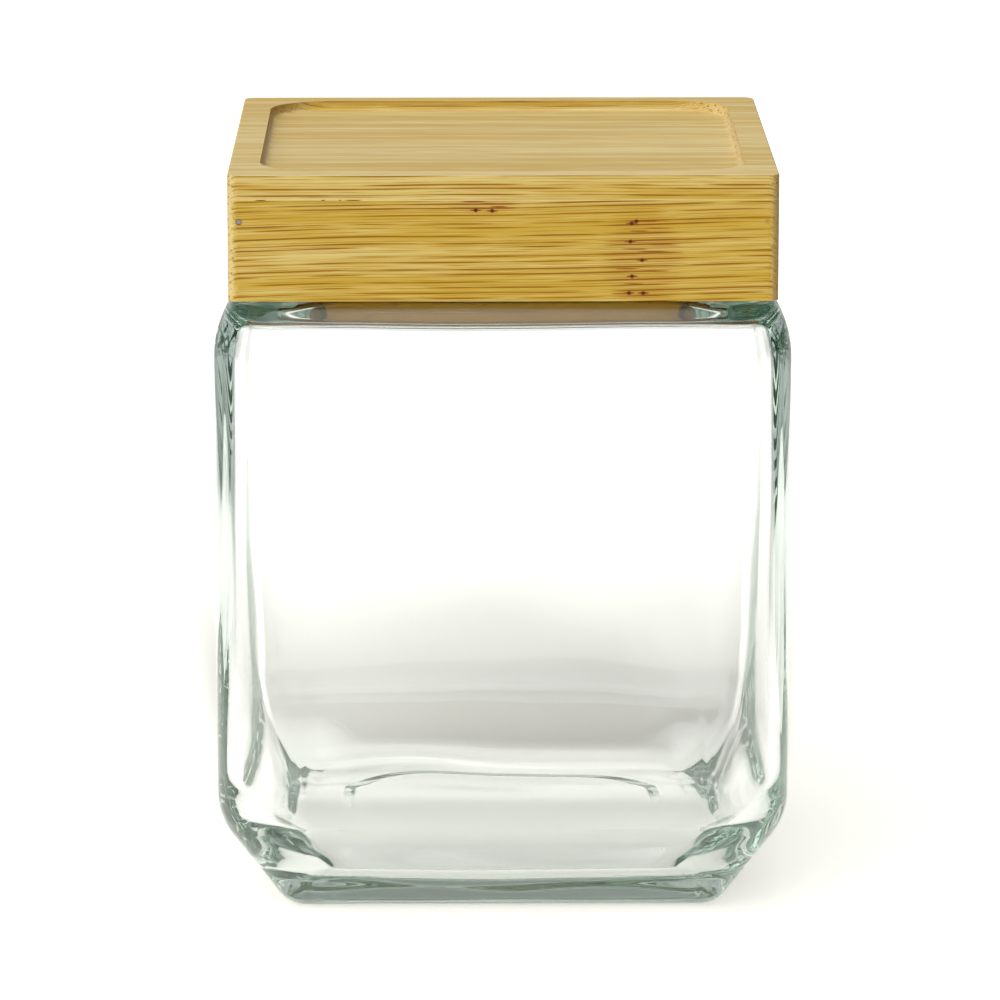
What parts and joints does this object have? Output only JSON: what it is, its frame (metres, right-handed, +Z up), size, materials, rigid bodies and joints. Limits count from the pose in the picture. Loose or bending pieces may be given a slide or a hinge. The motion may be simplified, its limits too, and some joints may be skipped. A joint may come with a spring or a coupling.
{
  "type": "spice jar",
  "caption": "Square clear glass canister with rounded corners, a bevelled foot and a bamboo box lid with a sealed plug and a recessed top.",
  "frame": {"origin": "middle of the jar's underside, on the surface that it stands on", "axes": "+Z up, along the lid's lift; the front, which the picture shows, faces -Y; the top strips run along X"},
  "size_m": [0.1, 0.1, 0.1313],
  "materials": {
    "glass": "clear soda-lime glass, fire-polished, faint green where it is thick",
    "bamboo": "edge-glued carbonised bamboo strips, sanded, clear satin oil",
    "silicone": "translucent white silicone, matt",
    "nail_steel": "bright steel wire, slightly dulled"
  },
  "bodies": {
    "jar": {"glass_jar": "glass"},
    "lid": {"top_strip_1": "bamboo", "top_strip_2": "bamboo", "top_strip_3": "bamboo", "top_strip_4": "bamboo", "top_strip_5": "bamboo", "front_rail": "bamboo", "back_rail": "bamboo", "left_rail": "bamboo", "right_rail": "bamboo", "front_left_nail": "nail_steel", "front_right_nail": "nail_steel", "back_left_nail": "nail_steel", "back_right_nail": "nail_steel", "spacer_strip_1": "bamboo", "spacer_strip_2": "bamboo", "spacer_strip_3": "bamboo", "spacer_strip_4": "bamboo", "plug_strip_1": "bamboo", "plug_strip_2": "bamboo", "plug_strip_3": "bamboo", "plug_strip_4": "bamboo", "seal_ring": "silicone"}
  },
  "joints": [
    {"name": "lid_lift", "type": "slide", "parent": "jar", "child": "lid", "axis": [0, 0, 1], "range_m": [0, 0.12]}
  ]
}
